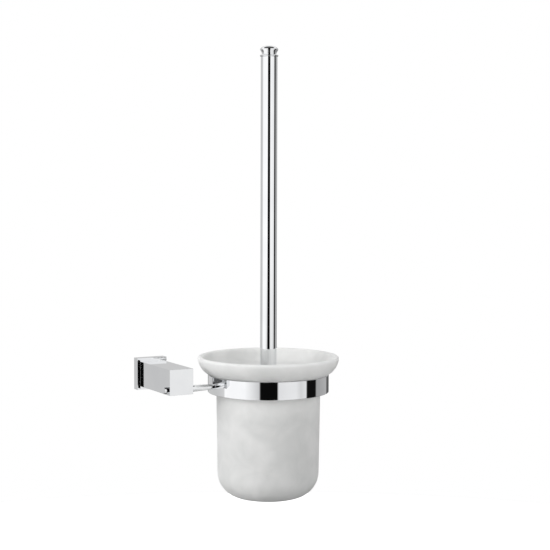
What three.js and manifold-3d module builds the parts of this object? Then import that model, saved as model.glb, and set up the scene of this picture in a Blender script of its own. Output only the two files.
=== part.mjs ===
// Wall-mounted toilet brush holder: a square chrome post with a stepped rosette carries a ring
// on a thin arm, a frosted glass cup hangs in the ring, and a brush stands in the cup.
// Millimetres, +Z up. The origin is the centre of the wall bracket's back face, on the wall
// plane y = 0. The room is towards -Y, and the cup is towards +X.
import * as THREE from 'three';
import { mergeVertices } from 'three/addons/utils/BufferGeometryUtils.js';
import Module from 'manifold-3d';

const wasm = await Module();
wasm.setup();

// ---- driving dimensions ----
const FIT = 0.3;           // gap between a piece and the one it fits into
const TOUCH = 0.1;         // gap between faces that rest on each other

const WALL_TO_AXIS = 60.4; // wall to the cup's axis, and to the arm's
const POST_TO_AXIS = 84.1; // post centre to the cup's axis
const POST_SIZE = 21.2;    // square post, side
const POST_END = 66.4;     // wall to the post's end face

const ROSETTE_SIZE = 27;   // square rosette, side at the wall
const ROSETTE_STEP = 1.45; // each ledge of the rosette
const ROSETTE_BASE = 7.4;  // depth of the outer step
const ROSETTE_DEPTH = 10;  // whole depth
const ROSETTE_WALL = 1.8;

const BRACKET_SIZE = 19;
const BRACKET_DEPTH = 4;
const WALL_SCREW_Z = 6;    // wall screws, above and below the centre
const WALL_SCREW_R = 1.75;
const WALL_SCREW_REACH = 24;

const ARM_Z = -6.8;        // arm axis, below the post's centre
const ARM_R = 2.8;         // arm at the post
const ARM_TIP_R = 2.15;    // arm at the ring
const ARM_PIN_R = 2.1;     // thinner stretch that passes through the post
const ARM_SPIGOT_R = 1.5;  // end that is fixed in the ring's wall
const CAP_R = 2.95;
const CAP_LENGTH = 2.8;

const RING_R = 51.3;
const RING_WALL = 2.6;
const RING_RISE = 7.6;     // ring's top edge, above the arm's axis
const RING_DROP = 7.3;     // ring's bottom edge, below it
const RING_EDGE = 0.3;     // rounding of the ring's edges
const RING_SINK = 1;       // the ring's top slopes down towards the glass by this much

const RIM_Z = 16.2;        // top of the glass
const RIM_R = 60;
const BOWL_R = 16.2;       // the flared lip is a quarter of an oval, this wide
const BOWL_HEIGHT = 16.8;  // and this high
const GLASS = 4.2;         // glass thickness
const NECK_R = 44.3;       // outside of the cup just under the lip
const FOOT_R = 43.1;       // outside of the cup where the bottom corner starts
const CUP_DEPTH = 120.4;   // rim to the foot
const CORNER_R = 21;       // rounded bottom corner

const HANDLE_R = 7;
const HANDLE_WALL = 1.2;
const HANDLE_TOP = 277;    // top of the finial
const FINIAL_HEIGHT = 7.5; // finial above its collar
const COLLAR_HEIGHT = 1.5;
const COLLAR_R = 7.85;

const HEAD_TOP = -15;      // top of the brush core
const CORE_R = 8;
const TIER_COUNT = 7;
const TIER_PITCH = 9;
const TIER_R = 37;         // bristle tips
const TIER_ROOT = 3;       // bristle tier thickness at the core
const TIER_TIP = 8.2;      // and at the tips
const STUD_R = 3.9;

// ---- worked out from the driving dimensions ----
const RING_TOP = ARM_Z + RING_RISE;
const RING_BOTTOM = ARM_Z - RING_DROP;
const BOWL_Z = RIM_Z - BOWL_HEIGHT; // lowest point of the lip's outside
const RING_BORE = RING_R - RING_WALL;
const CUP_FOOT = RIM_Z - CUP_DEPTH;
const CUP_FLOOR = CUP_FOOT + GLASS;
const COLLAR_TOP = HANDLE_TOP - FINIAL_HEIGHT;
const TUBE_TOP = COLLAR_TOP - COLLAR_HEIGHT;
const TUBE_BORE = HANDLE_R - HANDLE_WALL;
const ARM_START = POST_SIZE / 2;
const ARM_END = POST_TO_AXIS - RING_R;
const TIER_FIRST = HEAD_TOP - 13;
const TIER_LAST = TIER_FIRST - (TIER_COUNT - 1) * TIER_PITCH;

// ---- materials ----
const chrome = new THREE.MeshStandardMaterial({ color: 0xd9dadc, roughness: 0.06, metalness: 1 });
const steel = new THREE.MeshStandardMaterial({ color: 0xa9abae, roughness: 0.35, metalness: 1 });
const zinc = new THREE.MeshStandardMaterial({ color: 0x9a9c9f, roughness: 0.5, metalness: 1 });
const frostedGlass = new THREE.MeshStandardMaterial({ color: 0xe4e5e4, roughness: 0.55, metalness: 0 });
const linerPlastic = new THREE.MeshStandardMaterial({ color: 0xdcdcda, roughness: 0.5, metalness: 0 });
const corePlastic = new THREE.MeshStandardMaterial({ color: 0xf1f1ee, roughness: 0.4, metalness: 0 });
const nylon = new THREE.MeshStandardMaterial({ color: 0xf6f6f4, roughness: 0.7, metalness: 0 });

// ---- shapes ----

// A turned shape about Z, from [radius, height] points that start and end on the axis
// or close on themselves. The points run upwards on the outside.
function turned(points, segments) {
  const geometry = new THREE.LatheGeometry(points.map(([r, z]) => new THREE.Vector2(r, z)), segments);
  return geometry.rotateX(Math.PI / 2);
}

// A turned ring: its section is a closed outline clear of the axis.
function turnedRing(points, segments) {
  return turned([...points, points[0]], segments);
}

// Points along an arc of a section, from one angle to another in degrees. The arc is part of
// a circle, or of an oval when a height is given.
function arc(centreR, centreZ, radius, from, to, steps, height = radius) {
  const points = [];
  for (let i = 0; i <= steps; i += 1) {
    const angle = THREE.MathUtils.degToRad(from + ((to - from) * i) / steps);
    points.push([centreR + radius * Math.cos(angle), centreZ + height * Math.sin(angle)]);
  }
  return points;
}

function rod(radius, from, to, segments = 24) {
  return turned([[0, from], [radius, from], [radius, to], [0, to]], segments);
}

function box(width, depth, height, x, y, z) {
  return new THREE.BoxGeometry(width, depth, height).translate(x, y, z);
}

const alongX = (geometry) => geometry.rotateY(Math.PI / 2);
const alongY = (geometry) => geometry.rotateX(-Math.PI / 2);

function toSolid(geometry) {
  const bare = geometry.clone();
  bare.deleteAttribute('normal');
  bare.deleteAttribute('uv');
  const merged = mergeVertices(bare, 1e-4);
  return new wasm.Manifold(new wasm.Mesh({
    numProp: 3,
    vertProperties: new Float32Array(merged.attributes.position.array),
    triVerts: new Uint32Array(merged.index.array),
  }));
}

function toGeometry(solid) {
  const mesh = solid.getMesh();
  const geometry = new THREE.BufferGeometry();
  geometry.setAttribute('position', new THREE.BufferAttribute(mesh.vertProperties, 3));
  geometry.setIndex(new THREE.BufferAttribute(mesh.triVerts, 1));
  geometry.computeVertexNormals();
  return geometry;
}

function cut(base, ...tools) {
  return toGeometry(tools.reduce((solid, tool) => solid.subtract(toSolid(tool)), toSolid(base)));
}

function join(base, ...others) {
  return toGeometry(others.reduce((solid, other) => solid.add(toSolid(other)), toSolid(base)));
}

function part(name, geometry, material) {
  const mesh = new THREE.Mesh(geometry, material);
  mesh.name = name;
  return mesh;
}

// ---- wall fixing ----

// A countersunk wall screw along Y: its head sits in the bracket, its point goes into the wall.
const SCREW_HEAD_R = 3.4;
const SCREW_HEAD_DEPTH = 2.2;

function wallScrew() {
  const headFace = -BRACKET_DEPTH + 0.3;
  const neck = headFace + SCREW_HEAD_DEPTH;
  const tip = WALL_SCREW_REACH;
  return alongY(turned([
    [0, headFace],
    [SCREW_HEAD_R, headFace],
    [WALL_SCREW_R, neck],
    [WALL_SCREW_R, tip - 4],
    [0, tip],
  ], 24));
}

function wallScrewHole(z) {
  const hole = rod(WALL_SCREW_R + FIT, -BRACKET_DEPTH - 1, 1);
  const sink = turned([
    [0, -BRACKET_DEPTH - 1],
    [SCREW_HEAD_R + 1.6, -BRACKET_DEPTH - 1],
    [WALL_SCREW_R + FIT, -BRACKET_DEPTH + 0.6 + SCREW_HEAD_DEPTH],
    [0, -BRACKET_DEPTH + 0.6 + SCREW_HEAD_DEPTH],
  ], 24);
  return alongY(toGeometry(toSolid(hole).add(toSolid(sink)))).translate(0, 0, z);
}

function wallBracket() {
  const plate = box(BRACKET_SIZE, BRACKET_DEPTH, BRACKET_SIZE, 0, -BRACKET_DEPTH / 2, 0);
  return cut(plate, wallScrewHole(WALL_SCREW_Z), wallScrewHole(-WALL_SCREW_Z));
}

// ---- rosette and post ----
const ROSETTE_FACE = 2.3;          // front wall of the rosette
const POST_SCREW_R = 2.5;
const POST_SCREW_HEAD_R = 4.2;
const POST_SCREW_HEAD = 2.4;
const POST_SCREW_END = 24;         // wall to the screw's tip, inside the post
const GRUB_R = 1.5;
const GRUB_Y = -2.2;

function rosette() {
  const small = ROSETTE_SIZE - 2 * ROSETTE_STEP;
  const outside = join(
    box(ROSETTE_SIZE, ROSETTE_BASE, ROSETTE_SIZE, 0, -ROSETTE_BASE / 2, 0),
    box(small, ROSETTE_DEPTH - 1, small, 0, -(ROSETTE_DEPTH + 1) / 2, 0),
  );
  const wide = ROSETTE_SIZE - 2 * ROSETTE_WALL;
  const wideDepth = ROSETTE_BASE - ROSETTE_WALL;
  const narrow = small - 2 * ROSETTE_WALL;
  const narrowDepth = ROSETTE_DEPTH - ROSETTE_FACE;
  const grubHole = rod(GRUB_R + 0.2, -ROSETTE_SIZE / 2 - 1, -ROSETTE_SIZE / 2 + ROSETTE_WALL + 1);
  return cut(
    outside,
    box(wide, wideDepth + 1, wide, 0, -(wideDepth - 1) / 2, 0),
    box(narrow, narrowDepth + 1, narrow, 0, -(narrowDepth - 1) / 2, 0),
    alongY(rod(POST_SCREW_R + FIT, -ROSETTE_DEPTH - 1, 0)),
    grubHole.translate(0, GRUB_Y, 0),
  );
}

function rosetteGrubScrew() {
  const end = -ROSETTE_SIZE / 2 + 0.3;
  return rod(GRUB_R, end, -BRACKET_SIZE / 2 - FIT, 16).translate(0, GRUB_Y, 0);
}

function postScrew() {
  const seat = -(ROSETTE_DEPTH - ROSETTE_FACE) + TOUCH;
  return alongY(turned([
    [0, -POST_SCREW_END],
    [POST_SCREW_R, -POST_SCREW_END],
    [POST_SCREW_R, seat],
    [POST_SCREW_HEAD_R, seat],
    [POST_SCREW_HEAD_R, seat + POST_SCREW_HEAD],
    [0, seat + POST_SCREW_HEAD],
  ], 24));
}

function postBlock() {
  const back = ROSETTE_DEPTH + TOUCH;
  const length = POST_END - back;
  const bar = box(POST_SIZE, length, POST_SIZE, 0, -back - length / 2, 0);
  const screwHole = alongY(rod(POST_SCREW_R + FIT, -POST_SCREW_END - 3, -back + 1));
  const armHole = alongX(rod(ARM_PIN_R + FIT, -POST_SIZE, POST_SIZE));
  return cut(bar, screwHole, armHole.translate(0, -WALL_TO_AXIS, ARM_Z));
}

// ---- arm and ring ----
function armRod() {
  const pinEnd = -ARM_START - TOUCH - CAP_LENGTH * 0.75;
  const shoulder = ARM_START + TOUCH;
  const rodEnd = ARM_END - TOUCH;
  return alongX(turned([
    [0, pinEnd],
    [ARM_PIN_R, pinEnd],
    [ARM_PIN_R, shoulder],
    [ARM_R, shoulder],
    [ARM_TIP_R, rodEnd],
    [ARM_SPIGOT_R, rodEnd],
    [ARM_SPIGOT_R, ARM_END + RING_WALL - FIT],
    [0, ARM_END + RING_WALL - FIT],
  ], 24)).translate(0, -WALL_TO_AXIS, ARM_Z);
}

// The cap screws on the arm's thinner end and clamps the post between itself and the shoulder.
function armEndCap() {
  const mouth = -ARM_START - TOUCH;
  const end = mouth - CAP_LENGTH;
  const bore = ARM_PIN_R + 0.25;
  return alongX(turned([
    [0, end],
    [CAP_R - 0.4, end],
    [CAP_R, end + 0.4],
    [CAP_R, mouth],
    [bore, mouth],
    [bore, end + 0.45],
    [0, end + 0.45],
  ], 24)).translate(0, -WALL_TO_AXIS, ARM_Z);
}

function ringBand() {
  const edge = RING_EDGE;
  const outer = RING_R - edge;
  const band = turnedRing([
    ...arc(outer, RING_BOTTOM + edge, edge, -90, 0, 1),
    ...arc(outer, RING_TOP - edge, edge, 0, 90, 1),
    [RING_BORE, RING_TOP - RING_SINK],
    ...arc(RING_BORE + edge, RING_BOTTOM + edge, edge, 180, 270, 1),
  ], 56).translate(POST_TO_AXIS, -WALL_TO_AXIS, 0);
  const spigotHole = alongX(rod(ARM_SPIGOT_R + 0.2, ARM_END - 2, ARM_END + RING_WALL + 2));
  return cut(band, spigotHole.translate(0, -WALL_TO_AXIS, ARM_Z));
}

// A soft sleeve that keeps the glass off the metal and carries the lip's underside.
function ringLiner() {
  const top = BOWL_Z - FIT;
  const bottom = RING_BOTTOM + 0.4;
  const bore = NECK_R + FIT;
  const outer = RING_BORE - FIT;
  return turnedRing([
    [bore + 0.6, bottom],
    [outer, bottom],
    [outer, top],
    [bore + 1, top],
    [bore, top - 1],
    [bore, bottom + 0.6],
  ], 56).translate(POST_TO_AXIS, -WALL_TO_AXIS, 0);
}

// ---- glass ----
function glassCup() {
  const lipCentre = RIM_R - BOWL_R;
  const rimRound = GLASS / 2;
  const neckBore = NECK_R - GLASS;
  const lipBore = BOWL_R - GLASS;
  const lipBoreHeight = BOWL_HEIGHT - GLASS;
  const innerCorner = CORNER_R - GLASS;
  const shoulder = 2.4;
  const cornerR = FOOT_R - CORNER_R;
  const cornerZ = CUP_FOOT + CORNER_R;
  const lipSlope = (Math.asin(rimRound / BOWL_R) * 180) / Math.PI;
  return turned([
    [0, CUP_FOOT],
    ...arc(cornerR, cornerZ, CORNER_R, -90, 0, 6),
    [NECK_R, BOWL_Z - 1.2],
    ...arc(lipCentre, RIM_Z, BOWL_R, -86, -lipSlope, 6, BOWL_HEIGHT),
    ...arc(RIM_R - rimRound, RIM_Z - rimRound, rimRound, 30, 150, 3),
    ...arc(lipCentre, RIM_Z, lipBore, -12, -90, 5, lipBoreHeight),
    ...arc(neckBore + shoulder, RIM_Z - lipBoreHeight - shoulder, shoulder, 90, 180, 2),
    ...arc(cornerR, cornerZ, innerCorner, 0, -90, 5),
    [0, CUP_FLOOR],
  ], 56).translate(POST_TO_AXIS, -WALL_TO_AXIS, 0);
}

// ---- handle ----
const PLUG_FLANGE = 1.6;
const PLUG_LENGTH = 14;
const STUD_LENGTH = 15;
const TUBE_BOTTOM = HEAD_TOP + TOUCH + PLUG_FLANGE + TOUCH;
const COLLAR_BORE = 3.2;

function onAxis(geometry) {
  return geometry.translate(POST_TO_AXIS, -WALL_TO_AXIS, 0);
}

function handleTube() {
  return onAxis(turnedRing([
    [TUBE_BORE, TUBE_BOTTOM],
    [HANDLE_R, TUBE_BOTTOM],
    [HANDLE_R, TUBE_TOP - TOUCH],
    [TUBE_BORE, TUBE_TOP - TOUCH],
  ], 28));
}

// A bead that shows between the tube and the finial, with a skirt pressed into the tube.
function finialCollar() {
  const skirt = TUBE_TOP - 8;
  const skirtR = TUBE_BORE - 0.1;
  const middle = TUBE_TOP + COLLAR_HEIGHT / 2;
  return onAxis(turnedRing([
    [COLLAR_BORE, skirt],
    [skirtR, skirt],
    [skirtR, TUBE_TOP],
    [COLLAR_R - COLLAR_HEIGHT / 2, TUBE_TOP],
    ...arc(COLLAR_R - COLLAR_HEIGHT / 2, middle, COLLAR_HEIGHT / 2, -60, 60, 3),
    [COLLAR_R - COLLAR_HEIGHT / 2, COLLAR_TOP - TOUCH],
    [COLLAR_BORE, COLLAR_TOP - TOUCH],
  ], 28));
}

// The turned finial: a neck that flares to the widest band, and a low dome on top.
function handleFinial() {
  const threadEnd = TUBE_TOP - 6;
  const neckR = 6.1;
  const bandR = 7.7;
  const bandLow = HANDLE_TOP - 3.4;
  const bandHigh = HANDLE_TOP - 2.6;
  return onAxis(turned([
    [0, threadEnd],
    [COLLAR_BORE - 0.2, threadEnd],
    [COLLAR_BORE - 0.2, COLLAR_TOP],
    [neckR, COLLAR_TOP],
    [neckR, COLLAR_TOP + 1],
    [bandR - 0.5, bandLow - 1],
    [bandR, bandLow],
    [bandR, bandHigh],
    [bandR - 0.5, bandHigh + 0.5],
    [5.4, HANDLE_TOP - 0.8],
    [2.8, HANDLE_TOP - 0.2],
    [0, HANDLE_TOP],
  ], 28));
}

// A plug brazed into the tube's lower end, with the threaded stud that the brush head takes.
function handleEndPlug() {
  const flangeLow = HEAD_TOP + TOUCH;
  const flangeHigh = flangeLow + PLUG_FLANGE;
  const plugR = TUBE_BORE - 0.1;
  return onAxis(turned([
    [0, flangeLow - STUD_LENGTH],
    [STUD_R - 0.6, flangeLow - STUD_LENGTH],
    [STUD_R, flangeLow - STUD_LENGTH + 0.8],
    [STUD_R, flangeLow],
    [HANDLE_R, flangeLow],
    [HANDLE_R, flangeHigh],
    [plugR, flangeHigh],
    [plugR, flangeHigh + PLUG_LENGTH],
    [0, flangeHigh + PLUG_LENGTH],
  ], 28));
}

// ---- brush head ----
function brushCore() {
  const hubR = 11;
  const hubLow = HEAD_TOP - 7;
  const bore = STUD_R + FIT;
  const boreEnd = HEAD_TOP - STUD_LENGTH - 1;
  const nose = TIER_LAST - 8;
  return onAxis(turned([
    [0, nose],
    [5, nose + 0.8],
    [CORE_R, nose + 3.5],
    [CORE_R, hubLow - 3],
    [hubR, hubLow],
    [hubR, HEAD_TOP - 1.5],
    [hubR - 1.5, HEAD_TOP],
    [bore, HEAD_TOP],
    [bore, boreEnd],
    [0, boreEnd],
  ], 28));
}

function bristleTier(index) {
  const z = TIER_FIRST - index * TIER_PITCH;
  return onAxis(turnedRing([
    [CORE_R + 0.2, z - TIER_ROOT / 2],
    [TIER_R, z - TIER_TIP / 2],
    [TIER_R, z + TIER_TIP / 2],
    [CORE_R + 0.2, z + TIER_ROOT / 2],
  ], 28));
}

// The last bristles slant down and round off the brush head under the core.
function bristleCrown() {
  const top = TIER_LAST - TIER_TIP / 2 - 0.6;
  const inner = CORE_R + 0.4;
  return onAxis(turnedRing([
    [inner, top - 3.8],
    [16, top - 8.6],
    [26, top - 8.2],
    [32, top - 4.5],
    [34.4, top],
    [inner, top],
  ], 28));
}

// ---- assembly ----
const holder = new THREE.Group();

const fixing = new THREE.Group();
fixing.add(part('wall_bracket', wallBracket(), zinc));
for (const [name, side] of [['wall_screw_upper', 1], ['wall_screw_lower', -1]]) {
  const screw = part(name, wallScrew(), steel);
  screw.position.z = side * WALL_SCREW_Z;
  fixing.add(screw);
}

const post = new THREE.Group();
post.add(
  part('rosette', rosette(), chrome),
  part('rosette_grub_screw', rosetteGrubScrew(), steel),
  part('post_screw', postScrew(), steel),
  part('post_block', postBlock(), chrome),
  part('arm_rod', armRod(), chrome),
  part('arm_end_cap', armEndCap(), chrome),
  part('ring_band', ringBand(), chrome),
  part('ring_liner', ringLiner(), linerPlastic),
);

const cup = part('glass_cup', glassCup(), frostedGlass);

const brush = new THREE.Group();
brush.add(
  part('handle_tube', handleTube(), chrome),
  part('finial_collar', finialCollar(), chrome),
  part('handle_finial', handleFinial(), chrome),
  part('handle_end_plug', handleEndPlug(), steel),
  part('brush_core', brushCore(), corePlastic),
);
for (let i = 0; i < TIER_COUNT; i += 1) {
  brush.add(part(`bristle_tier_${i + 1}`, bristleTier(i), nylon));
}
brush.add(part('bristle_crown', bristleCrown(), nylon));

holder.add(fixing, post, cup, brush);

export default holder;
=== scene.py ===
"""Wall-mounted toilet brush holder: chrome post and ring, frosted glass cup, long-handled brush."""
import math
import random

import bpy
from mathutils import Matrix, Vector


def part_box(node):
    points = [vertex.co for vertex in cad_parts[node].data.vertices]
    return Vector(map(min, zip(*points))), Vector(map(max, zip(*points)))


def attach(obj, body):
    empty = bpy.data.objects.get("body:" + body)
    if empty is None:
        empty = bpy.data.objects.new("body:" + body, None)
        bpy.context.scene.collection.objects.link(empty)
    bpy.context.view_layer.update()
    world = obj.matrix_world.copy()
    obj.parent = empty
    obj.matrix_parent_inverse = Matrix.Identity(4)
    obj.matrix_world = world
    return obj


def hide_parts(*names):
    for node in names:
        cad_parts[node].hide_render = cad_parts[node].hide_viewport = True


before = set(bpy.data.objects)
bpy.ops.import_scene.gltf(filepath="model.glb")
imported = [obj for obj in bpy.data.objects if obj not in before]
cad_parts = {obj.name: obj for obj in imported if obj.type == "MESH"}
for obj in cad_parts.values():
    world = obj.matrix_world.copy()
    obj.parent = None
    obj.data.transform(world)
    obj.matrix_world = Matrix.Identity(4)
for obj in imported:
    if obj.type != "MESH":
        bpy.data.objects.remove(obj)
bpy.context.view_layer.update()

MM = 0.001

# ---- places and sizes from the frame, in metres ----
cup_low, cup_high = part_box("glass_cup")
AXIS_X = (cup_low.x + cup_high.x) / 2
AXIS_Y = (cup_low.y + cup_high.y) / 2
RIM_Z = cup_high.z
FOOT_Z = cup_low.z
RIM_R = 60 * MM
AXIS = Vector((AXIS_X, AXIS_Y, 0))


# ---- small helpers ----
def deselect():
    bpy.ops.object.select_all(action="DESELECT")


def edit(obj):
    """Opens one piece in edit mode, with everything in it selected."""
    deselect()
    obj.select_set(True)
    bpy.context.view_layer.objects.active = obj
    bpy.ops.object.mode_set(mode="EDIT")
    bpy.ops.mesh.select_all(action="SELECT")


def leave_edit():
    bpy.ops.object.mode_set(mode="OBJECT")


def only(obj):
    deselect()
    obj.select_set(True)
    bpy.context.view_layer.objects.active = obj


def settle(obj, name):
    """Names the piece and puts its place into its mesh, so that the object sits at the origin."""
    only(obj)
    bpy.ops.object.transform_apply(location=True, rotation=True, scale=True)
    obj.name = name
    obj.data.name = name
    return obj


def apply_modifier(obj, kind, **settings):
    only(obj)
    modifier = obj.modifiers.new(kind.lower(), kind)
    for key, value in settings.items():
        setattr(modifier, key, value)
    bpy.ops.object.modifier_apply(modifier=modifier.name)


def smooth(obj, degrees=32):
    """Smooth shading that keeps flat faces flat: their rounded edges take up the whole turn."""
    only(obj)
    bpy.ops.object.shade_smooth_by_angle(angle=math.radians(degrees))
    apply_modifier(obj, "WEIGHTED_NORMAL", mode="FACE_AREA", weight=100, keep_sharp=True)


def finish_piece(obj, name, body, slot, material, *nodes):
    """Last steps of every piece: its name, material, body and the CAD nodes it stands for. The slot is
    not used.
    """
    settle(obj, name)
    obj.data.materials.clear()
    obj.data.materials.append(material)
    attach(obj, body)
    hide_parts(*nodes)


def round_off(centre_r, centre_z, radius, start, end, steps, height=None):
    """Points of a rounded corner in a turned section, from one angle to another in degrees.
    With a height, the corner is part of an oval."""
    rise = radius if height is None else height
    points = []
    for i in range(steps + 1):
        angle = math.radians(start + (end - start) * i / steps)
        points.append((centre_r + radius * math.cos(angle), centre_z + rise * math.sin(angle)))
    return points


def section_line(points):
    """A new piece, left in edit mode: one vertex drawn out from point to point in the XZ plane."""
    deselect()
    bpy.ops.mesh.primitive_plane_add(size=MM, location=(0, 0, 0))
    obj = bpy.context.active_object
    bpy.ops.object.mode_set(mode="EDIT")
    bpy.ops.mesh.select_mode(type="VERT")
    bpy.ops.mesh.select_all(action="SELECT")
    bpy.ops.mesh.merge(type="CENTER")
    places = [Vector((r, 0, z)) for r, z in points]
    bpy.ops.transform.translate(value=places[0])
    for before, after in zip(places, places[1:]):
        bpy.ops.mesh.extrude_vertices_move(TRANSFORM_OT_translate={"value": after - before})
    bpy.ops.mesh.select_all(action="SELECT")
    return obj


def turned(section, steps, centre=AXIS, axis="Z", closed=False):
    """Turns a section of (radius, height) points about an axis through centre, in metres. A closed
    section is joined back to its start, and makes a ring; an open one starts and ends on the axis."""
    obj = section_line([*section, section[0]] if closed else section)
    bpy.ops.mesh.spin(steps=steps, angle=math.tau, center=(0, 0, 0), axis=(0, 0, 1))
    bpy.ops.mesh.select_all(action="SELECT")
    bpy.ops.mesh.remove_doubles(threshold=2e-6)
    bpy.ops.mesh.normals_make_consistent(inside=False)
    leave_edit()
    turn = Matrix.Identity(4)
    if axis == "X":
        turn = Matrix.Rotation(math.pi / 2, 4, "Y")
    if axis == "Y":
        turn = Matrix.Rotation(-math.pi / 2, 4, "X")
    obj.matrix_world = Matrix.Translation(centre) @ turn
    return obj


def select_sharp_edges(obj, test):
    """In edit mode, selects the sharp edges whose two ends pass the test."""
    bpy.ops.mesh.select_mode(type="EDGE")
    bpy.ops.mesh.select_all(action="DESELECT")
    bpy.ops.mesh.edges_select_sharp(sharpness=math.radians(40))
    bpy.ops.object.mode_set(mode="OBJECT")
    for polygon in obj.data.polygons:
        polygon.select = False
    for edge in obj.data.edges:
        start, end = (obj.data.vertices[i].co for i in edge.vertices)
        edge.select = edge.select and test(start, end)
    bpy.ops.object.mode_set(mode="EDIT")


def bar(low, high, bevel):
    """A square bar between two corners. Its edges are rounded, but the ones at its back stay
    sharp, where it meets what it stands on."""
    deselect()
    size = high - low
    bpy.ops.mesh.primitive_cube_add(size=1, location=(low + high) / 2, scale=size)
    obj = bpy.context.active_object
    bpy.ops.object.transform_apply(location=True, rotation=True, scale=True)
    edit(obj)
    select_sharp_edges(obj, lambda start, end: min(start.y, end.y) < high.y - bevel)
    bpy.ops.mesh.bevel(offset=bevel, segments=3, profile=0.5, affect="EDGES")
    leave_edit()
    return obj


def select_faces(obj, test):
    """In edit mode, selects the faces whose centre and normal pass the test."""
    bpy.ops.mesh.select_all(action="DESELECT")
    bpy.ops.object.mode_set(mode="OBJECT")
    for polygon in obj.data.polygons:
        polygon.select = test(polygon.center, polygon.normal)
    bpy.ops.object.mode_set(mode="EDIT")
    bpy.ops.mesh.select_mode(type="FACE")


def cut_away(obj, tool):
    """Cuts one shape out of a piece, and throws the cutting shape away."""
    apply_modifier(obj, "BOOLEAN", operation="DIFFERENCE", solver="EXACT", object=tool)
    bpy.data.objects.remove(tool, do_unlink=True)


def drill(obj, radius, start, end, steps=40):
    """Cuts a hole from one point to another: round, or a hexagon with six steps."""
    direction = end - start
    deselect()
    bpy.ops.mesh.primitive_cylinder_add(
        vertices=steps, radius=radius, depth=direction.length,
        location=(start + end) / 2, rotation=direction.to_track_quat("Z", "Y").to_euler())
    cut_away(obj, bpy.context.active_object)


def join(objects):
    deselect()
    for obj in objects:
        obj.select_set(True)
    bpy.context.view_layer.objects.active = objects[0]
    bpy.ops.object.join()
    return objects[0]


def copy_of(obj, matrix):
    twin = obj.copy()
    twin.data = obj.data.copy()
    bpy.context.collection.objects.link(twin)
    twin.matrix_world = matrix @ obj.matrix_world
    return twin


# ---- materials ----
def linear(code):
    """An sRGB hex colour as the linear RGBA that shaders take."""
    parts = [int(code[i:i + 2], 16) / 255 for i in (1, 3, 5)]
    return tuple(c / 12.92 if c <= 0.04045 else ((c + 0.055) / 1.055) ** 2.4 for c in parts) + (1.0,)


def node(tree, kind, inputs=None, **settings):
    """Adds a node with its settings; inputs are values or (node, output) links, by socket name."""
    made = tree.nodes.new(kind)
    for key, value in settings.items():
        setattr(made, key, value)
    for key, value in (inputs or {}).items():
        if isinstance(value, tuple) and isinstance(value[0], bpy.types.Node):
            tree.links.new(value[0].outputs[value[1]], made.inputs[key])
        else:
            made.inputs[key].default_value = value
    return made


def new_material(name):
    material = bpy.data.materials.new(name)
    material.use_nodes = True
    tree = material.node_tree
    tree.nodes.clear()
    return material, tree


def close_material(tree, shader):
    node(tree, "ShaderNodeOutputMaterial", {"Surface": (shader, "BSDF")})


def ramp(tree, factor, stops):
    """A colour ramp through stops of (place, colour)."""
    made = node(tree, "ShaderNodeValToRGB", {"Fac": factor})
    elements = made.color_ramp.elements
    while len(elements) < len(stops):
        elements.new(0.5)
    for element, (place, colour) in zip(elements, stops):
        element.position = place
    for element, (place, colour) in zip(elements, stops):
        element.color = colour
    return made


def noise(tree, place, size_mm, detail=2.0, roughness=0.5, distortion=0.0):
    """Noise whose features are about size_mm across."""
    return node(tree, "ShaderNodeTexNoise", {
        "Vector": place, "Scale": 1 / (size_mm * MM), "Detail": detail,
        "Roughness": roughness, "Distortion": distortion})


def bright_chrome():
    """Bright chromium plate on polished brass: a cool, near-perfect mirror. The buffing wheel and
    years of wiping leave a gloss and a tint that drift a little over a few centimetres."""
    material, tree = new_material("bright_chromium_plate_buffed")
    place = (node(tree, "ShaderNodeTexCoord"), "Object")
    wipe = noise(tree, place, 18, detail=3)
    gloss = node(tree, "ShaderNodeMapRange", {
        "Value": (wipe, "Fac"), "From Min": 0.3, "From Max": 0.7, "To Min": 0.015, "To Max": 0.04})
    tint = ramp(tree, (wipe, "Fac"), [(0.3, linear("#eaebed")), (0.7, linear("#eff0f1"))])
    shader = node(tree, "ShaderNodeBsdfPrincipled", {
        "Base Color": (tint, "Color"), "Metallic": 1.0, "Roughness": (gloss, "Result")})
    close_material(tree, shader)
    return material


def etched_glass():
    """Opal glass with an acid-etched skin: milky white with soft drifting clouds like alabaster,
    a satin sheen without sharp reflections, and light that spreads a few millimetres inside."""
    material, tree = new_material("opal_glass_acid_etched")
    place = (node(tree, "ShaderNodeTexCoord"), "Object")
    clouds = noise(tree, place, 42, detail=2, roughness=0.45, distortion=1.0)
    wisps = noise(tree, place, 15, detail=2, roughness=0.5, distortion=1.6)
    drift = node(tree, "ShaderNodeMix", {
        "Factor": 0.25, "A": (clouds, "Fac"), "B": (wisps, "Fac")}, data_type="FLOAT")
    milk = ramp(tree, (drift, "Result"), [(0.3, linear("#d9dad9")), (0.7, linear("#ececeb"))])
    grit = noise(tree, place, 0.8, detail=2)
    etch = node(tree, "ShaderNodeBump", {
        "Height": (grit, "Fac"), "Strength": 0.12, "Distance": 0.05 * MM})
    matt = node(tree, "ShaderNodeMapRange", {
        "Value": (clouds, "Fac"), "From Min": 0.3, "From Max": 0.7, "To Min": 0.42, "To Max": 0.55})
    shader = node(tree, "ShaderNodeBsdfPrincipled", {
        "Base Color": (milk, "Color"), "Roughness": (matt, "Result"), "IOR": 1.5,
        "Subsurface Weight": 1.0, "Subsurface Scale": 7 * MM, "Normal": (etch, "Normal")})
    shader.inputs["Subsurface Radius"].default_value = (1.0, 1.0, 1.0)
    close_material(tree, shader)
    return material


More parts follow.
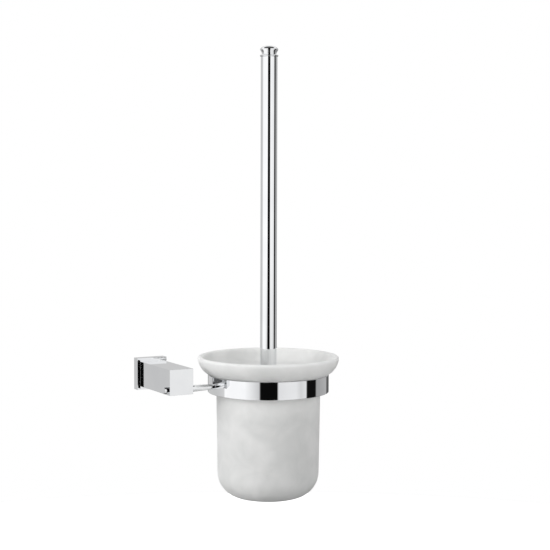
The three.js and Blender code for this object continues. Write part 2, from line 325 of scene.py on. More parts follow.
def turned_steel(name, light, dark):
    """Zinc-plated steel as it comes off the lathe: grey, soft gloss, fine tool marks."""
    material, tree = new_material(name)
    place = (node(tree, "ShaderNodeTexCoord"), "Object")
    marks = noise(tree, place, 0.7, detail=4, roughness=0.7)
    stain = noise(tree, place, 6, detail=2)
    tint = ramp(tree, (stain, "Fac"), [(0.35, linear(dark)), (0.65, linear(light))])
    gloss = node(tree, "ShaderNodeMapRange", {
        "Value": (marks, "Fac"), "From Min": 0.3, "From Max": 0.7, "To Min": 0.28, "To Max": 0.45})
    tooled = node(tree, "ShaderNodeBump", {
        "Height": (marks, "Fac"), "Strength": 0.15, "Distance": 0.03 * MM})
    shader = node(tree, "ShaderNodeBsdfPrincipled", {
        "Base Color": (tint, "Color"), "Metallic": 1.0, "Roughness": (gloss, "Result"),
        "Normal": (tooled, "Normal")})
    close_material(tree, shader)
    return material


def cast_zinc():
    """Die-cast zinc left raw: dull grey with a fine orange-peel skin from the mould."""
    material, tree = new_material("die_cast_zinc_raw")
    place = (node(tree, "ShaderNodeTexCoord"), "Object")
    skin = noise(tree, place, 0.9, detail=3, roughness=0.6)
    flow = noise(tree, place, 7, detail=3, distortion=1.0)
    tint = ramp(tree, (flow, "Fac"), [(0.3, linear("#8d9093")), (0.7, linear("#a4a7aa"))])
    peel = node(tree, "ShaderNodeBump", {
        "Height": (skin, "Fac"), "Strength": 0.35, "Distance": 0.08 * MM})
    shader = node(tree, "ShaderNodeBsdfPrincipled", {
        "Base Color": (tint, "Color"), "Metallic": 0.85, "Roughness": 0.5,
        "Normal": (peel, "Normal")})
    close_material(tree, shader)
    return material


def moulded_plastic(name, light, dark, rough):
    """Injection-moulded polypropylene: white, waxy half gloss, faint flow marks, some glow inside."""
    material, tree = new_material(name)
    place = (node(tree, "ShaderNodeTexCoord"), "Object")
    flow = noise(tree, place, 12, detail=2, distortion=0.6)
    skin = noise(tree, place, 0.6, detail=2)
    tint = ramp(tree, (flow, "Fac"), [(0.3, linear(dark)), (0.7, linear(light))])
    pores = node(tree, "ShaderNodeBump", {
        "Height": (skin, "Fac"), "Strength": 0.1, "Distance": 0.03 * MM})
    shader = node(tree, "ShaderNodeBsdfPrincipled", {
        "Base Color": (tint, "Color"), "Roughness": rough, "IOR": 1.49,
        "Subsurface Weight": 0.3, "Subsurface Scale": 1.5 * MM, "Normal": (pores, "Normal")})
    shader.inputs["Subsurface Radius"].default_value = (1.0, 1.0, 1.0)
    close_material(tree, shader)
    return material


def drawn_nylon():
    """Drawn nylon filament: white, slightly see-through at the tips, silky along its length."""
    material, tree = new_material("nylon_filament_drawn")
    place = (node(tree, "ShaderNodeTexCoord"), "Object")
    lots = noise(tree, place, 3, detail=2)
    tint = ramp(tree, (lots, "Fac"), [(0.3, linear("#dedfdc")), (0.7, linear("#f6f6f3"))])
    shader = node(tree, "ShaderNodeBsdfPrincipled", {
        "Base Color": (tint, "Color"), "Roughness": 0.38, "IOR": 1.53,
        "Sheen Weight": 0.25, "Sheen Roughness": 0.4})
    close_material(tree, shader)
    return material


CHROME = bright_chrome()
GLASS = etched_glass()
STEEL = turned_steel("zinc_plated_steel_turned", "#b4b6b9", "#9b9da0")
ZINC = cast_zinc()
LINER = moulded_plastic("soft_liner_moulded", "#e4e4e2", "#d6d6d4", 0.5)
CORE = moulded_plastic("polypropylene_moulded_white", "#f4f4f1", "#ebebe8", 0.38)
NYLON = drawn_nylon()


# ---- wall fixing ----
SCREW_HOLE_R = 2.05 * MM
HEAD_SEAT_R = 3.8 * MM      # room for the countersunk head in the plate
HEAD_SEAT_DEPTH = 2.7 * MM


def wall_bracket():
    low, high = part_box("wall_bracket")
    plate = bar(low, high, 0.5 * MM)
    front = low.y
    for name in ("wall_screw_upper", "wall_screw_lower"):
        screw_low, screw_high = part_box(name)
        z = (screw_low.z + screw_high.z) / 2
        outside = Vector((0, front - MM, z))
        drill(plate, SCREW_HOLE_R, outside, Vector((0, MM, z)))
        drill(plate, HEAD_SEAT_R, outside, Vector((0, front + HEAD_SEAT_DEPTH, z)))
    smooth(plate)
    finish_piece(plate, "bracket_plate", "bracket", "zinc", ZINC, "wall_bracket")


def cross_recess(obj, centre, width, depth):
    """Cuts a cross slot into a screw head that faces -Y."""
    for turn in (0, math.pi / 2):
        deselect()
        bpy.ops.mesh.primitive_cube_add(
            size=1, location=centre, rotation=(0, turn, 0),
            scale=(width, depth * 2, width * 0.24))
        cut_away(obj, bpy.context.active_object)


def wall_screw(node_name, name):
    """A countersunk wood screw along Y: the thread is one triangle, wound on by the Screw modifier."""
    low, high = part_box(node_name)
    head_r = (high.x - low.x) / 2
    centre = Vector((0, 0, (low.z + high.z) / 2))
    shank_r = 1.25 * MM
    crest_r = 1.75 * MM
    pitch = 1.5 * MM
    tip = high.y
    head = low.y
    body = turned([
        (0, head), (head_r - 0.2 * MM, head), (head_r, head + 0.25 * MM),
        (crest_r, head + 2.2 * MM), (shank_r, head + 3.4 * MM),
        (shank_r, tip - 4 * MM), (0.2 * MM, tip - 0.2 * MM), (0, tip)], 32, centre, "Y")
    settle(body, name)
    turns = 12
    root = pitch * 0.3
    start = head + 4.2 * MM
    inside = shank_r * 0.9
    thread = section_line([
        (inside, start - root), (crest_r, start), (inside, start + root), (inside, start - root)])
    bpy.ops.mesh.remove_doubles(threshold=1e-6)
    leave_edit()
    apply_modifier(
        thread, "SCREW", angle=math.tau, screw_offset=pitch, iterations=turns,
        steps=20, render_steps=20, use_merge_vertices=False, use_smooth_shade=True)
    edit(thread)
    bpy.ops.mesh.select_mode(type="EDGE")
    bpy.ops.mesh.select_all(action="DESELECT")
    bpy.ops.mesh.select_non_manifold()
    bpy.ops.mesh.fill()
    bpy.ops.mesh.select_all(action="SELECT")
    bpy.ops.mesh.normals_make_consistent(inside=False)
    leave_edit()
    thread.matrix_world = Matrix.Translation(centre) @ Matrix.Rotation(-math.pi / 2, 4, "X")
    settle(thread, name + "_thread")
    cross_recess(body, centre + Vector((0, head, 0)), head_r * 1.1, 1.1 * MM)
    screw = join([body, thread])
    smooth(screw, 40)
    finish_piece(screw, name, "bracket", "steel", STEEL, node_name)


def post_screw():
    """Low-head socket screw along Y that pulls the post onto the rosette."""
    low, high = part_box("post_screw")
    head_r = (high.x - low.x) / 2
    shank_r = 2.5 * MM
    seat = high.y - 2.4 * MM
    screw = turned([
        (0, low.y), (shank_r - 0.5 * MM, low.y), (shank_r, low.y + 0.5 * MM), (shank_r, seat),
        (head_r, seat), (head_r, high.y - 0.4 * MM), (head_r - 0.4 * MM, high.y), (0, high.y)],
        40, Vector((0, 0, 0)), "Y")
    settle(screw, "post_screw_socket")
    drill(screw, 1.75 * MM, Vector((0, high.y + MM, 0)), Vector((0, high.y - 1.6 * MM, 0)), steps=6)
    smooth(screw)
    finish_piece(screw, "post_screw_socket", "bracket", "steel", STEEL, "post_screw")


def rosette_grub_screw():
    """Headless socket screw, upright, seen from below the rosette."""
    low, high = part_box("rosette_grub_screw")
    radius = (high.x - low.x) / 2
    middle = (low + high) / 2
    screw = turned([
        (0, low.z), (radius - 0.25 * MM, low.z), (radius, low.z + 0.25 * MM),
        (radius, high.z - 0.6 * MM), (radius - 0.6 * MM, high.z), (0, high.z)],
        32, Vector((middle.x, middle.y, 0)))
    settle(screw, "grub_screw")
    drill(screw, 0.85 * MM, Vector((middle.x, middle.y, low.z - MM)),
          Vector((middle.x, middle.y, low.z + 1.8 * MM)), steps=6)
    smooth(screw)
    finish_piece(screw, "grub_screw", "bracket", "steel", STEEL, "rosette_grub_screw")


# ---- rosette, post and arm ----
BASE_DEPTH = 7.4 * MM    # the rosette's outer step
COVER_WALL = 1.8 * MM
COVER_FACE = 2.3 * MM    # the thicker front, which the post is screwed to
POST_SCREW_HOLE_R = 2.8 * MM


def rosette_cover():
    """Square cover: its front is inset and drawn out for the step, its back hollowed the same way.
    Every edge is broken a little, but the corner inside the step stays sharp."""
    low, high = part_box("rosette")
    half = (high.x - low.x) / 2
    post_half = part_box("post_block")[1].x
    ledge = (half - post_half) / 2
    depth = high.y - low.y
    deselect()
    bpy.ops.mesh.primitive_cube_add(
        size=1, location=(0, -BASE_DEPTH / 2, 0), scale=(2 * half, BASE_DEPTH, 2 * half))
    cover = bpy.context.active_object
    bpy.ops.object.transform_apply(location=True, rotation=True, scale=True)
    edit(cover)
    select_faces(cover, lambda centre, normal: normal.y < -0.9)
    bpy.ops.mesh.inset(thickness=ledge)
    bpy.ops.mesh.extrude_region_move(
        TRANSFORM_OT_translate={"value": (0, -(depth - BASE_DEPTH), 0)})
    select_faces(cover, lambda centre, normal: normal.y > 0.9)
    bpy.ops.mesh.inset(thickness=COVER_WALL)
    bpy.ops.mesh.extrude_region_move(
        TRANSFORM_OT_translate={"value": (0, -(BASE_DEPTH - COVER_WALL), 0)})
    bpy.ops.mesh.inset(thickness=ledge)
    bpy.ops.mesh.extrude_region_move(
        TRANSFORM_OT_translate={"value": (0, -(depth - COVER_FACE - BASE_DEPTH + COVER_WALL), 0)})
    bpy.ops.mesh.select_all(action="SELECT")
    bpy.ops.mesh.normals_make_consistent(inside=False)
    inside_step = half - ledge / 2
    select_sharp_edges(cover, lambda start, end: not all(
        abs(place.y + BASE_DEPTH) < 0.01 * MM and max(abs(place.x), abs(place.z)) < inside_step
        for place in (start, end)))
    bpy.ops.mesh.bevel(offset=0.06 * MM, segments=2, affect="EDGES")
    leave_edit()
    drill(cover, POST_SCREW_HOLE_R, Vector((0, -depth - MM, 0)), Vector((0, 0, 0)))
    grub_low, grub_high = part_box("rosette_grub_screw")
    grub = (grub_low + grub_high) / 2
    grub_hole_r = (grub_high.x - grub_low.x) / 2 + 0.2 * MM
    drill(cover, grub_hole_r, Vector((grub.x, grub.y, -half - MM)),
          Vector((grub.x, grub.y, -half + COVER_WALL + MM)))
    smooth(cover)
    finish_piece(cover, "rosette_cover", "bracket", "chrome", CHROME, "rosette")


def post_bar():
    """Solid bar, cross-drilled for the arm and drilled from behind for its screw."""
    low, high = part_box("post_block")
    post = bar(low, high, 0.12 * MM)
    arm_low, arm_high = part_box("arm_rod")
    arm = (arm_low + arm_high) / 2
    pin_hole_r = 2.4 * MM
    drill(post, pin_hole_r, Vector((low.x - MM, arm.y, arm.z)), Vector((high.x + MM, arm.y, arm.z)))
    drill(post, POST_SCREW_HOLE_R, Vector((0, high.y + MM, 0)), Vector((0, high.y - 17 * MM, 0)))
    smooth(post)
    finish_piece(post, "post_bar", "bracket", "chrome", CHROME, "post_block")


def ring_arm():
    """Tapered rod: a thin pin runs through the post, and a spigot goes into the ring."""
    low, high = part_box("arm_rod")
    radius = (high.z - low.z) / 2
    tip_r = 2.15 * MM
    pin_r = 2.1 * MM
    spigot_r = 1.5 * MM
    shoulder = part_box("post_block")[1].x + 0.03 * MM
    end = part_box("ring_band")[0].x + 0.05 * MM
    middle = (low + high) / 2
    arm = turned([
        (0, low.x), (pin_r - 0.4 * MM, low.x), (pin_r, low.x + 0.4 * MM), (pin_r, shoulder),
        (radius - 0.15 * MM, shoulder), (radius, shoulder + 0.15 * MM),
        (tip_r, end - 0.25 * MM), (tip_r - 0.25 * MM, end), (spigot_r, end),
        (spigot_r, high.x), (0, high.x)],
        48, Vector((0, middle.y, middle.z)), "X")
    smooth(arm)
    finish_piece(arm, "ring_arm", "bracket", "chrome", CHROME, "arm_rod")


def arm_cap():
    """Round cap on the pin's end, against the post's outer side."""
    low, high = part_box("arm_end_cap")
    radius = (high.z - low.z) / 2
    middle = (low + high) / 2
    mouth = high.x + 0.05 * MM
    bore = 2.35 * MM
    face = low.x + 0.45 * MM
    cap = turned([
        (0, low.x), (radius - 0.5 * MM, low.x), (radius - 0.15 * MM, low.x + 0.15 * MM),
        (radius, low.x + 0.5 * MM), (radius, mouth), (bore, mouth),
        (bore, face), (0, face)], 48, Vector((0, middle.y, middle.z)), "X")
    smooth(cap)
    finish_piece(cap, "arm_cap", "bracket", "chrome", CHROME, "arm_end_cap")


RING_WALL = 2.6 * MM
RING_SINK = 1 * MM       # the hoop's top slopes down towards the glass by this much


def ring_hoop():
    """Rolled flat hoop: upright outside, and a top that slopes in under the glass lip."""
    low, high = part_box("ring_band")
    outer = (high.x - low.x) / 2
    inner = outer - RING_WALL
    edge = 0.3 * MM
    hoop = turned([
        *round_off(outer - edge, low.z + edge, edge, -90, 0, 5),
        *round_off(outer - edge, high.z - edge, edge, 0, 90, 5),
        (inner, high.z - RING_SINK), *round_off(inner + edge, low.z + edge, edge, 180, 270, 3)],
        160, closed=True)
    settle(hoop, "ring_hoop")
    arm_low, arm_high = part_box("arm_rod")
    arm = (arm_low + arm_high) / 2
    spigot_hole_r = 1.7 * MM
    drill(hoop, spigot_hole_r, Vector((low.x - 2 * MM, arm.y, arm.z)),
          Vector((low.x + 5 * MM, arm.y, arm.z)))
    smooth(hoop)
    finish_piece(hoop, "ring_hoop", "bracket", "chrome", CHROME, "ring_band")


def ring_liner():
    """Soft sleeve between the metal hoop and the glass, eased at the top so that the cup slides in."""
    low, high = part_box("ring_liner")
    bore = 44.6 * MM
    outer = 48.4 * MM
    liner = turned([
        (bore + 0.6 * MM, low.z), (outer - 0.3 * MM, low.z), (outer, low.z + 0.3 * MM),
        (outer, high.z - 0.3 * MM), (outer - 0.3 * MM, high.z), (bore + MM, high.z),
        (bore + 0.3 * MM, high.z - 0.4 * MM), (bore, high.z - MM), (bore, low.z + 0.6 * MM)],
        128, closed=True)
    smooth(liner)
    finish_piece(liner, "liner_sleeve", "liner", "liner_plastic", LINER, "ring_liner")


# ---- glass ----
WALL = 4.2 * MM
LIP_R = 16.2 * MM        # the lip is a quarter of an oval, this wide
LIP_HEIGHT = 16.8 * MM   # and this high
NECK_R = 44.3 * MM
CORNER_R = 21 * MM
FOOT_R = 43.1 * MM


def cup():
    """Blown in one piece: an upright cup with a rounded foot and a lip that flares a quarter round."""
    lip_centre = RIM_R - LIP_R
    lip_low = RIM_Z - LIP_HEIGHT
    rim = WALL / 2
    corner_r = FOOT_R - CORNER_R
    corner_z = FOOT_Z + CORNER_R
    neck_bore = NECK_R - WALL
    shoulder = 2.4 * MM
    lip_slope = math.degrees(math.asin(rim / LIP_R))
    glass = turned([
        (0, FOOT_Z),
        *round_off(corner_r, corner_z, CORNER_R, -90, 0, 18),
        (NECK_R - 0.4 * MM, lip_low - 30 * MM), (NECK_R, lip_low - 2.2 * MM),
        *round_off(NECK_R + 1.2 * MM, lip_low - 1.25 * MM, 1.2 * MM, 180, 95, 4),
        *round_off(lip_centre, RIM_Z, LIP_R, -84, -lip_slope, 18, LIP_HEIGHT),
        *round_off(RIM_R - rim, RIM_Z - rim, rim, 15, 165, 9),
        *round_off(lip_centre, RIM_Z, LIP_R - WALL, -12, -88, 14, LIP_HEIGHT - WALL),
        *round_off(neck_bore + shoulder, lip_low + WALL - shoulder, shoulder, 90, 180, 6),
        *round_off(corner_r, corner_z, CORNER_R - WALL, 0, -90, 14),
        (0, FOOT_Z + WALL)], 144)
    smooth(glass, 50)
    finish_piece(glass, "cup_glass", "cup", "frosted_glass", GLASS, "glass_cup")


# ---- handle ----
def handle():
    """Drawn tube with its cut ends eased."""
    low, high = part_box("handle_tube")
    outer = (high.x - low.x) / 2
    bore = outer - 1.2 * MM
    edge = 0.2 * MM
    tube = turned([
        (bore, low.z), (outer - edge, low.z), (outer, low.z + edge), (outer, high.z - edge),
        (outer - edge, high.z), (bore, high.z)], 96, closed=True)
    smooth(tube)
    finish_piece(tube, "handle_shaft", "handle", "chrome", CHROME, "handle_tube")


def finial_bead():
    """Thin half-round bead on the tube's end, with a skirt inside the tube."""
    low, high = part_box("finial_collar")
    radius = (high.x - low.x) / 2
    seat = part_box("handle_tube")[1].z + 0.05 * MM
    bulge = (high.z - seat) / 2
    bore = 3.2 * MM
    skirt = 5.7 * MM
    bead = turned([
        (bore, low.z), (skirt - 0.3 * MM, low.z), (skirt, low.z + 0.3 * MM), (skirt, seat),
        *round_off(radius - bulge, seat + bulge, bulge, -90, 90, 10), (bore, high.z)],
        96, closed=True)
    smooth(bead)
    finish_piece(bead, "finial_bead", "handle", "chrome", CHROME, "finial_collar")


def finial():
    """Turned end of the handle: a narrow neck flares to a band under a low dome."""
    low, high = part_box("handle_finial")
    top = high.z
    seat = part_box("finial_collar")[1].z + 0.05 * MM
    stud = 3.0 * MM
    neck = 6.1 * MM
    band = 7.7 * MM
    end = turned([
        (0, low.z), (stud - 0.4 * MM, low.z), (stud, low.z + 0.4 * MM), (stud, seat),
        (neck - 0.2 * MM, seat), (neck, seat + 0.3 * MM), (neck + 0.05 * MM, seat + 1.0 * MM),
        (neck + 0.35 * MM, seat + 2.0 * MM), (band - 0.45 * MM, top - 4.2 * MM),
        (band - 0.1 * MM, top - 3.5 * MM), (band, top - 3.1 * MM), (band - 0.1 * MM, top - 2.7 * MM),
        (band - 0.5 * MM, top - 2.2 * MM), (band - 1.4 * MM, top - 1.35 * MM),
        (5.0 * MM, top - 0.72 * MM), (3.4 * MM, top - 0.3 * MM), (1.7 * MM, top - 0.07 * MM),
        (0, top)], 96)
    smooth(end, 40)
    finish_piece(end, "finial_knob", "handle", "chrome", CHROME, "handle_finial")


def end_plug():
    """Plug in the tube's foot with a threaded stud: the thread is drawn as stacked ridges."""
    low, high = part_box("handle_end_plug")
    flange_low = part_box("brush_core")[1].z + 0.05 * MM
    flange_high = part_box("handle_tube")[0].z - 0.05 * MM
    outer = 7.0 * MM
    plug = 5.7 * MM
    crest = 3.9 * MM
    root = 3.4 * MM
    pitch = 1.25 * MM
    ridges = []
    z = low.z + 0.8 * MM
    while z + pitch < flange_low - 1.0 * MM:
        ridges += [(root, z), (crest, z + pitch / 2)]
        z += pitch
    stud = turned([
        (0, low.z), (root - 0.3 * MM, low.z), *ridges, (root, z), (root, flange_low),
        (outer - 0.2 * MM, flange_low), (outer, flange_low + 0.2 * MM),
        (outer, flange_high - 0.2 * MM), (outer - 0.2 * MM, flange_high), (plug, flange_high),
        (plug, high.z), (0, high.z)], 64)
    smooth(stud)
    finish_piece(stud, "stud_plug", "handle", "steel", STEEL, "handle_end_plug")


# ---- brush head ----
FILAMENT_R = 0.22 * MM   # nylon filament, drawn a little thicker than real so that it shows
TUFTS = 22               # tufts round one tier
FILAMENTS = 26           # filaments in one tuft
TIERS = 7
CORE_FACE = 7.4 * MM     # where the tufts start, a little inside the stem
GOLDEN_ANGLE = 2.39996   # turn from one filament to the next, which spreads them evenly


def brush_core():
    """Moulded stem with a flared hub; shallow rings mark where the tufts are set."""
    low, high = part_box("brush_core")
    core = 8 * MM
    hub = 11 * MM
    hub_low = high.z - 7 * MM
    bore = 4.2 * MM
    grooves = []
    tiers = [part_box(f"bristle_tier_{i}") for i in range(1, TIERS + 1)]
    for tier_low, tier_high in reversed(tiers):
        middle = (tier_low.z + tier_high.z) / 2
        grooves += [
            (core, middle - 3 * MM), (core - 0.3 * MM, middle - 2.4 * MM),
            (core - 0.3 * MM, middle + 2.4 * MM), (core, middle + 3 * MM)]
    stem = turned([
        (0, low.z), *round_off(core - 4 * MM, low.z + 4 * MM, 4 * MM, -90, -8, 6), *grooves,
        (core, hub_low - 3 * MM), (core + 0.8 * MM, hub_low - 2.4 * MM),
        (hub - 0.6 * MM, hub_low - 0.5 * MM), (hub, hub_low),
        *round_off(hub - 1.5 * MM, high.z - 1.5 * MM, 1.5 * MM, 0, 90, 5),
        (bore + 0.3 * MM, high.z), (bore, high.z - 0.3 * MM), (bore, high.z - 16 * MM),
        (0, high.z - 16 * MM)], 72)
    smooth(stem)
    finish_piece(stem, "brush_stem", "brush_head", "core_plastic", CORE, "brush_core")


def filament(length):
    """One filament along +X from the origin: a five-sided rod whose tip is rounded off."""
    deselect()
    bpy.ops.mesh.primitive_cylinder_add(
        vertices=5, radius=FILAMENT_R, depth=length * 0.96, end_fill_type="NGON",
        location=(length * 0.48, 0, 0), rotation=(0, math.pi / 2, 0))
    rod = bpy.context.active_object
    bpy.ops.object.transform_apply(location=True, rotation=True, scale=True)
    edit(rod)
    select_faces(rod, lambda centre, normal: normal.x > 0.9)
    bpy.ops.mesh.extrude_region_move(
        TRANSFORM_OT_translate={"value": (length * 0.04, 0, 0)})
    bpy.ops.transform.resize(value=(1, 0.45, 0.45))
    leave_edit()
    smooth(rod, 60)
    return rod


def tuft(seed, length, root_spread, tip_spread_z, tip_spread_y):
    """Filaments that leave one hole and fan out towards their tips."""
    chance = random.Random(seed)
    model = filament(length)
    made = []
    for i in range(FILAMENTS):
        turn = i * GOLDEN_ANGLE
        reach = math.sqrt((i + 0.5) / FILAMENTS)
        across, up = reach * math.cos(turn), reach * math.sin(turn)
        slope_y = (across * tip_spread_y + chance.uniform(-0.3, 0.3) * MM) / length
        slope_z = (up * tip_spread_z + chance.uniform(-0.3, 0.3) * MM) / length
        stretch = 1 - chance.uniform(0.0, 0.035)
        place = Matrix.Translation((0, across * root_spread, up * root_spread))
        lean = Matrix.Rotation(math.atan(slope_y), 4, "Z") @ Matrix.Rotation(-math.atan(slope_z), 4, "Y")
        made.append(copy_of(model, place @ lean @ Matrix.Scale(stretch, 4)))
    bpy.data.objects.remove(model, do_unlink=True)
    return settle(join(made), "tuft")


def bristle_ring(model, height, start, tilt=0.0):
    """Copies of a tuft round the axis, each a little off the next."""
    chance = random.Random(round(height * 1e5))
    made = []
    for i in range(TUFTS):
        turn = start + math.tau * i / TUFTS + chance.uniform(-0.02, 0.02)
        out = Matrix.Translation((CORE_FACE, 0, 0)) @ Matrix.Rotation(tilt, 4, "Y")
        made.append(copy_of(model, Matrix.Translation((AXIS_X, AXIS_Y, height))
                            @ Matrix.Rotation(turn, 4, "Z") @ out))
    return join(made)


def bristles():
    """Seven tiers of tufts that stand straight out, and a crown that slants round the stem's end."""
    tier_low, tier_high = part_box("bristle_tier_1")
    reach = (tier_high.x - tier_low.x) / 2
    half_height = (tier_high.z - tier_low.z) / 2
    side = tuft(11, reach - CORE_FACE - 0.2 * MM, 1.15 * MM, half_height - 0.9 * MM, 3.8 * MM)
    for i in range(1, TIERS + 1):
        low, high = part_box(f"bristle_tier_{i}")
        ring = bristle_ring(side, (low.z + high.z) / 2, math.pi * i / TUFTS)
        finish_piece(ring, f"bristles_{i}", "brush_head", "bristle_nylon", NYLON,
                     f"bristle_tier_{i}")
    bpy.data.objects.remove(side, do_unlink=True)
    low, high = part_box("bristle_crown")
    slant = tuft(17, 25 * MM, 1.1 * MM, 2.0 * MM, 3.0 * MM)
    crown = bristle_ring(slant, high.z - 1.2 * MM, 0.1, math.radians(9))
    bpy.data.objects.remove(slant, do_unlink=True)
    finish_piece(crown, "bristles_end", "brush_head", "bristle_nylon", NYLON, "bristle_crown")


# ---- the holder ----
wall_bracket()
wall_screw("wall_screw_upper", "screw_upper")
wall_screw("wall_screw_lower", "screw_lower")
post_screw()
rosette_grub_screw()
rosette_cover()
post_bar()
ring_arm()
arm_cap()
ring_hoop()
ring_liner()
cup()
handle()
finial_bead()
finial()
end_plug()
brush_core()
bristles()


# ---- camera ----
VIEW_TURN = math.radians(28.66)    # the camera stands to the left of the holder's front
CAMERA_DISTANCE = 1.2023           # level distance to the cup's axis
CAMERA_ABOVE_RIM = 0.1551
CAMERA_AIM = math.radians(28.906)
CAMERA_PITCH = math.radians(4.107)
CAMERA_ROLL = math.radians(0.17)
CAMERA_LENS = 93.3


def camera():
    data = bpy.data.cameras.new("camera")
    data.sensor_width = 36
    data.lens = CAMERA_LENS
    made = bpy.data.objects.new("camera", data)
    bpy.context.scene.collection.objects.link(made)
    made.location = (
        AXIS_X - CAMERA_DISTANCE * math.sin(VIEW_TURN),
        AXIS_Y - CAMERA_DISTANCE * math.cos(VIEW_TURN),
        RIM_Z + CAMERA_ABOVE_RIM)
    made.rotation_euler = (math.pi / 2 - CAMERA_PITCH, -CAMERA_ROLL, -CAMERA_AIM)
    bpy.context.scene.camera = made


# ---- studio ----
FLOOR_Z = -0.42
FLOOR_R = 1.4


def at(degrees):
    """Where an angle round the tent falls on a ramp. The camera stands at 0, its right is 90."""
    return (degrees + 180) / 360


def grey(value):
    return (value, value, value, 1)


def tent_walls(tree, share, left_of_gap, right_of_gap):
    """One band of the tent's walls all the way round: grey behind, white on both sides of a dark
    gap in front, and a dark post on the right."""
    return ramp(tree, (share, "Result"), [
        (at(-180), grey(0.62)), (at(-118), grey(0.62)), (at(-93), grey(0.72)), (at(-90), grey(1.12)),
        *left_of_gap, (at(-15), grey(0.004)), (at(17), grey(0.004)), *right_of_gap,
        (at(78), grey(0.006)), (at(101), grey(0.006)),
        (at(104), grey(0.40)), (at(150), grey(0.5)), (at(178), grey(0.60))])


def blend(tree, factor, first, second):
    """A node that goes from the first colour to the second as the factor rises to 1."""
    return node(tree, "ShaderNodeMix", {"Factor": factor, "A": first, "B": second}, data_type="RGBA")


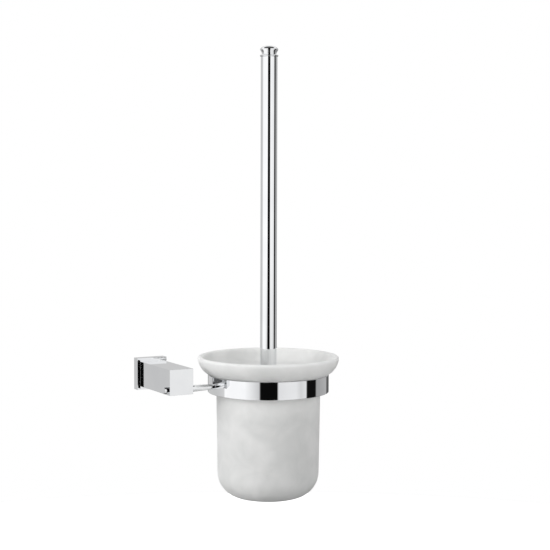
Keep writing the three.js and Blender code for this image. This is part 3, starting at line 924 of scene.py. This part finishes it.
def studio_world():
    """A light tent that gives the chrome crisp upright stripes. Its walls are plain above and
    shaded below, its roof is dark in the middle, and it stands on a grey table with a dark
    skirting behind. The camera itself sees plain white."""
    world = bpy.data.worlds.new("light_tent")
    bpy.context.scene.world = world
    world.use_nodes = True
    tree = world.node_tree
    tree.nodes.clear()
    ray = node(tree, "ShaderNodeLightPath")
    mirrored = (ray, "Is Glossy Ray")
    direction = node(tree, "ShaderNodeTexCoord")
    turned_round = node(tree, "ShaderNodeMapping", {
        "Vector": (direction, "Generated"), "Rotation": (0, 0, VIEW_TURN + math.pi / 2)},
        vector_type="POINT")
    parts = node(tree, "ShaderNodeSeparateXYZ", {"Vector": (turned_round, "Vector")})
    angle = node(tree, "ShaderNodeMath", {0: (parts, "Y"), 1: (parts, "X")}, operation="ARCTAN2")
    share = node(tree, "ShaderNodeMapRange", {
        "Value": (angle, "Value"), "From Min": -math.pi, "From Max": math.pi})

    upper_walls = tent_walls(
        tree, share, [(at(-17), grey(1.15))],
        [(at(19), grey(1.1)), (at(60), grey(1.0)), (at(76), grey(0.9))])
    lower_walls = tent_walls(
        tree, share, [(at(-45), grey(1.12)), (at(-32), grey(0.92)), (at(-17), grey(0.68))],
        [(at(19), grey(0.86)), (at(46), grey(0.93)), (at(54), grey(0.93)), (at(64), grey(0.76)),
         (at(76), grey(0.88))])
    low = node(tree, "ShaderNodeMapRange", {
        "Value": (parts, "Z"), "From Min": -0.12, "From Max": -0.06, "To Min": 1, "To Max": 0})
    walls = blend(tree, (low, "Result"), (upper_walls, "Color"), (lower_walls, "Color"))

    # the roof starts high up, and leaves out the gap in front
    beside_gap = ramp(tree, (share, "Result"), [
        (at(-17), grey(1)), (at(-15), grey(0)), (at(17), grey(0)), (at(19), grey(1))])
    above = node(tree, "ShaderNodeMapRange", {
        "Value": (parts, "Z"), "From Min": 0.45, "From Max": 0.62})
    ceiling = node(tree, "ShaderNodeMath", {
        0: (above, "Result"), 1: (beside_gap, "Color")}, operation="MULTIPLY")
    roof = ramp(tree, (parts, "Z"), [(0.76, grey(1.1)), (0.80, grey(0.10))])
    roof_light = blend(tree, mirrored, grey(0.72), (roof, "Color"))
    lid = blend(tree, (ceiling, "Value"), (walls, "Result"), (roof_light, "Result"))

    # mirrors see the table only on the far side, but it dims the light from below all round
    far_side = ramp(tree, (share, "Result"), [
        (at(-104), grey(1)), (at(-92), grey(0)), (at(92), grey(0)), (at(104), grey(1))])
    below = node(tree, "ShaderNodeMapRange", {
        "Value": (parts, "Z"), "From Min": -0.42, "From Max": -0.18, "To Min": 1, "To Max": 0})
    table_area = blend(tree, mirrored, grey(1), (far_side, "Color"))
    ground = node(tree, "ShaderNodeMath", {
        0: (below, "Result"), 1: (table_area, "Result")}, operation="MULTIPLY")
    table = blend(tree, mirrored, grey(0.36), grey(0.25))
    room = blend(tree, (ground, "Value"), (lid, "Result"), (table, "Result"))

    back_corner = ramp(tree, (share, "Result"), [
        (at(-166), grey(1)), (at(-162), grey(0)), (at(143), grey(0)), (at(147), grey(1))])
    skirting = node(tree, "ShaderNodeMath", {
        0: (low, "Result"), 1: (back_corner, "Color")}, operation="MULTIPLY")
    whole_room = blend(tree, (skirting, "Value"), (room, "Result"), grey(0.12))
    seen = blend(tree, (ray, "Is Camera Ray"), (whole_room, "Result"), grey(1.0))
    background = node(tree, "ShaderNodeBackground", {"Color": (seen, "Result"), "Strength": 1.0})
    node(tree, "ShaderNodeOutputWorld", {"Surface": (background, "Background")})


def floor():
    deselect()
    bpy.ops.mesh.primitive_circle_add(
        vertices=96, radius=FLOOR_R, fill_type="NGON", location=(AXIS_X, AXIS_Y, FLOOR_Z))
    made = bpy.context.active_object
    made.name = "floor"
    material, tree = new_material("matt_white_floor")
    shader = node(tree, "ShaderNodeBsdfPrincipled", {
        "Base Color": linear("#f4f4f4"), "Roughness": 0.9,
        "Emission Color": linear("#ffffff"), "Emission Strength": 0.35})
    close_material(tree, shader)
    made.data.materials.append(material)
    made.visible_glossy = False
    made.visible_diffuse = False


def softbox(name, turn, distance, height, size, power):
    """A square lamp that faces the cup, turned round it from the camera's side."""
    data = bpy.data.lights.new(name, "AREA")
    data.size = size
    data.energy = power
    lamp = bpy.data.objects.new(name, data)
    bpy.context.scene.collection.objects.link(lamp)
    angle = turn - VIEW_TURN
    target = Vector((AXIS_X, AXIS_Y, RIM_Z - 0.03))
    lamp.location = target + Vector((distance * math.sin(angle), -distance * math.cos(angle), height))
    lamp.rotation_euler = (target - lamp.location).to_track_quat("-Z", "Y").to_euler()
    lamp.visible_glossy = False
    lamp.visible_camera = False


camera()
studio_world()
floor()
softbox("key_left", math.radians(-60), 1.4, 0.45, 0.7, 8.5)
softbox("fill_right", math.radians(70), 1.4, 0.3, 0.7, 3)
softbox("fill_front", math.radians(5), 1.4, 0.3, 0.7, 2.2)
softbox("fill_back", math.radians(170), 1.4, 0.4, 0.9, 7)
bpy.context.scene.view_settings.view_transform = "Standard"
